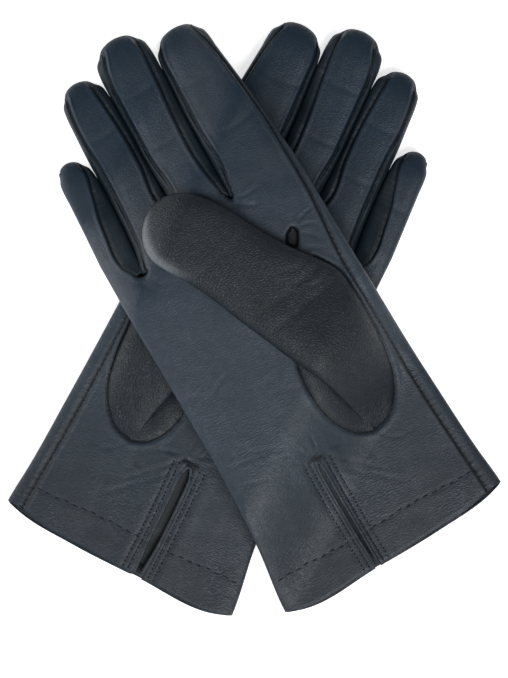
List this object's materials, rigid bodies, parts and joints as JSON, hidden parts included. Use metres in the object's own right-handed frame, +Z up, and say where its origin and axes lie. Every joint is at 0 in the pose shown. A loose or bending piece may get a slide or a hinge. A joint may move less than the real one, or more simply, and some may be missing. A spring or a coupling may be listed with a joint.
{
  "type": "dress gloves",
  "caption": "Pair of lined navy leather dress gloves lying crossed palms up, with bending fingers and a wrist vent.",
  "frame": {"origin": "centre of the pair's outline, on the surface it lies on", "axes": "+Z up from the surface, palms facing up; +Y from the cuffs towards the fingertips, between the two gloves; +X to the right seen from above, towards the right glove's cuff"},
  "size_m": [0.2165, 0.2611, 0.0375],
  "materials": {
    "navy_leather": "satin",
    "gusset_leather": "satin",
    "thumb_leather": "satin",
    "lining_knit": "matte",
    "thread": "satin"
  },
  "bodies": {
    "left_glove": {"left_hand_leather": "navy_leather", "left_hand_lining": "lining_knit", "left_cuff_facing": "navy_leather", "left_hem_stitching": "thread", "left_vent_binding": "navy_leather", "left_vent_stitching": "thread", "left_side_seam_stitching": "thread", "left_index_middle_gusset": "gusset_leather", "left_middle_ring_gusset": "gusset_leather", "left_ring_little_gusset": "gusset_leather", "left_thumb_base": "thumb_leather", "left_thumb": "thumb_leather", "left_thumb_lining": "lining_knit", "left_thumb_quirk": "navy_leather"},
    "right_glove": {"right_hand_leather": "navy_leather", "right_hand_lining": "lining_knit", "right_cuff_facing": "navy_leather", "right_hem_stitching": "thread", "right_vent_binding": "navy_leather", "right_vent_stitching": "thread", "right_side_seam_stitching": "thread", "right_index_middle_gusset": "gusset_leather", "right_middle_ring_gusset": "gusset_leather", "right_ring_little_gusset": "gusset_leather", "right_thumb_base": "thumb_leather", "right_thumb_quirk": "navy_leather"},
    "left_index_finger_end": {"left_index_finger": "navy_leather", "left_index_gusset": "gusset_leather", "left_index_lining": "lining_knit"},
    "left_middle_finger_end": {"left_middle_finger": "navy_leather", "left_middle_gussets": "gusset_leather", "left_middle_lining": "lining_knit"},
    "left_ring_finger_end": {"left_ring_finger": "navy_leather", "left_ring_gussets": "gusset_leather", "left_ring_lining": "lining_knit"},
    "left_little_finger_end": {"left_little_finger": "navy_leather", "left_little_gusset": "gusset_leather", "left_little_lining": "lining_knit"},
    "right_index_finger_end": {"right_index_finger": "navy_leather", "right_index_gusset": "gusset_leather", "right_index_lining": "lining_knit"},
    "right_middle_finger_end": {"right_middle_finger": "navy_leather", "right_middle_gussets": "gusset_leather", "right_middle_lining": "lining_knit"},
    "right_ring_finger_end": {"right_ring_finger": "navy_leather", "right_ring_gussets": "gusset_leather", "right_ring_lining": "lining_knit"},
    "right_little_finger_end": {"right_little_finger": "navy_leather", "right_little_gusset": "gusset_leather", "right_little_lining": "lining_knit"},
    "right_thumb_end": {"right_thumb": "thumb_leather", "right_thumb_lining": "lining_knit"}
  },
  "joints": [
    {"name": "left_index_bend", "type": "hinge", "parent": "left_glove", "child": "left_index_finger_end", "pos_m": [0.01108, 0.10773, 0.01075], "axis": [0.8988, -0.4384, 0], "range_deg": [0, 70]},
    {"name": "left_middle_bend", "type": "hinge", "parent": "left_glove", "child": "left_middle_finger_end", "pos_m": [0.02824, 0.08156, 0.01075], "axis": [0.8988, -0.4384, 0], "range_deg": [0, 90]},
    {"name": "left_ring_bend", "type": "hinge", "parent": "left_glove", "child": "left_ring_finger_end", "pos_m": [0.04389, 0.05946, 0.01049], "axis": [0.8988, -0.4384, 0], "range_deg": [0, 90]},
    {"name": "left_little_bend", "type": "hinge", "parent": "left_glove", "child": "left_little_finger_end", "pos_m": [0.05789, 0.04151, 0.01016], "axis": [0.8988, -0.4384, 0], "range_deg": [0, 90]},
    {"name": "right_glove_lift", "type": "slide", "parent": "left_glove", "child": "right_glove", "axis": [0, 0, 1], "range_m": [0, 0.12]},
    {"name": "right_index_bend", "type": "hinge", "parent": "right_glove", "child": "right_index_finger_end", "pos_m": [-0.0089, 0.08326, 0.02973], "axis": [0.866, 0.5, 0], "range_deg": [0, 90]},
    {"name": "right_middle_bend", "type": "hinge", "parent": "right_glove", "child": "right_middle_finger_end", "pos_m": [-0.03462, 0.07188, 0.02629], "axis": [0.866, 0.5, 0], "range_deg": [0, 90]},
    {"name": "right_ring_bend", "type": "hinge", "parent": "right_glove", "child": "right_ring_finger_end", "pos_m": [-0.05288, 0.05672, 0.01935], "axis": [0.866, 0.5, 0], "range_deg": [0, 90]},
    {"name": "right_little_bend", "type": "hinge", "parent": "right_glove", "child": "right_little_finger_end", "pos_m": [-0.06559, 0.03783, 0.01626], "axis": [0.866, 0.5, 0], "range_deg": [0, 90]},
    {"name": "right_thumb_swing", "type": "hinge", "parent": "right_glove", "child": "right_thumb_end", "pos_m": [0.01755, 0.00346, 0.03645], "axis": [0.5736, 0.8192, 0], "range_deg": [0, 90]}
  ]
}
